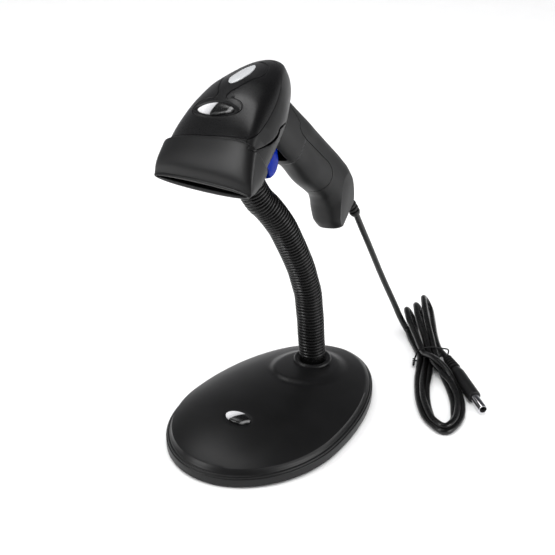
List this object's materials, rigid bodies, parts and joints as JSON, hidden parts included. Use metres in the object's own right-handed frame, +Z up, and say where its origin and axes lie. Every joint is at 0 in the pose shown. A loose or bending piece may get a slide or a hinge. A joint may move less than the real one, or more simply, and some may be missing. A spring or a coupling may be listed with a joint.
{
  "type": "handheld barcode scanner",
  "caption": "Pistol-grip barcode scanner with a hooded nose and a trigger, resting on a bendable neck on a weighted oval base, with its cord tied in a hank.",
  "frame": {"origin": "on the counter under the widest line of the base, on the base's mid-plane", "axes": "+Z up, -Y the way the stand faces and the scanner looks, +X to the scanner's left side"},
  "size_m": [0.1713, 0.2597, 0.2188],
  "materials": {
    "black_satin_plastic": "satin",
    "black_plastic": "matte",
    "black_rubber": "matte",
    "cord_jacket": "satin",
    "blue_trigger": "gloss",
    "silver_badge": "polished",
    "pale_lens": "gloss",
    "scan_window_glass": "gloss",
    "circuit_board": "satin",
    "steel": "brushed",
    "nickel_plate": "polished",
    "pale_plastic": "matte"
  },
  "bodies": {
    "stand": {"base_shell": "black_satin_plastic", "base_bottom_plate": "black_plastic", "base_weight": "steel", "base_pad": "black_rubber", "base_screw_1": "steel", "base_screw_2": "steel", "base_badge": "silver_badge", "neck_collar": "black_satin_plastic", "neck_foot_sleeve": "black_plastic", "neck_lock_nut": "steel", "neck_segment_1": "black_plastic", "cable_hank": "cord_jacket", "cable_tie": "black_rubber", "plug_relief": "black_rubber", "plug_body": "black_plastic", "plug_barrel": "nickel_plate", "plug_inner_ring": "black_plastic"},
    "neck_1": {"neck_segment_2": "black_plastic"},
    "neck_2": {"neck_segment_3": "black_plastic"},
    "neck_3": {"neck_segment_4": "black_plastic"},
    "cradle": {"neck_segment_5": "black_plastic", "neck_top_ferrule": "black_plastic", "cradle": "black_satin_plastic"},
    "scanner": {"top_cover": "black_satin_plastic", "body_band": "black_satin_plastic", "nose_bumper": "black_satin_plastic", "indicator_lens": "pale_lens", "top_badge": "silver_badge", "scan_window": "scan_window_glass", "optics_chassis": "black_plastic", "lens_barrel": "black_plastic", "light_lens_right": "pale_lens", "light_lens_left": "pale_lens", "main_pcb": "circuit_board", "decoder_chip": "black_plastic", "buzzer": "black_plastic", "grip_front": "black_satin_plastic", "grip_back": "black_satin_plastic", "butt_plate": "black_plastic", "trigger_pin": "steel", "switch_board": "circuit_board", "trigger_switch": "black_plastic", "trigger_spring": "steel", "cable_socket": "pale_plastic", "strain_relief": "black_rubber", "cable_span": "cord_jacket"},
    "trigger": {"trigger": "blue_trigger"}
  },
  "joints": [
    {"name": "neck_bend", "type": "hinge", "parent": "stand", "child": "neck_1", "pos_m": [-0.00118, 0.05543, 0.056], "axis": [0.8911, -0.4539, 0], "range_deg": [-15, 12]},
    {"name": "neck_sway", "type": "hinge", "parent": "neck_1", "child": "neck_2", "pos_m": [-0.0034, 0.05107, 0.0845], "axis": [0.4372, 0.8582, 0.2689], "range_deg": [-12, 12]},
    {"name": "neck_bend_upper", "type": "hinge", "parent": "neck_2", "child": "neck_3", "pos_m": [-0.00808, 0.04189, 0.1108], "axis": [0.8911, -0.4539, 0], "range_deg": [-15, 12]},
    {"name": "neck_sway_upper", "type": "hinge", "parent": "neck_3", "child": "cradle", "pos_m": [-0.01353, 0.0312, 0.1319], "axis": [0.3849, 0.7557, 0.5299], "range_deg": [-12, 12]},
    {"name": "scanner_lift", "type": "slide", "parent": "cradle", "child": "scanner", "axis": [-0.2355, -0.4306, 0.8713], "range_m": [0, 0.06], "deforming": ["cable_span"]},
    {"name": "trigger_pull", "type": "hinge", "parent": "scanner", "child": "trigger", "pos_m": [-0.02368, 0.0406, 0.17494], "axis": [0.9709, -0.0637, 0.231], "range_deg": [0, 6], "stiffness_Nm_per_rad": 0.12, "springref_deg": -6.88, "deforming": ["trigger_spring"]}
  ],
  "couplings": [
    {"joint": "neck_bend_upper", "follows": "neck_bend", "ratio": 1},
    {"joint": "neck_sway_upper", "follows": "neck_sway", "ratio": 1}
  ]
}
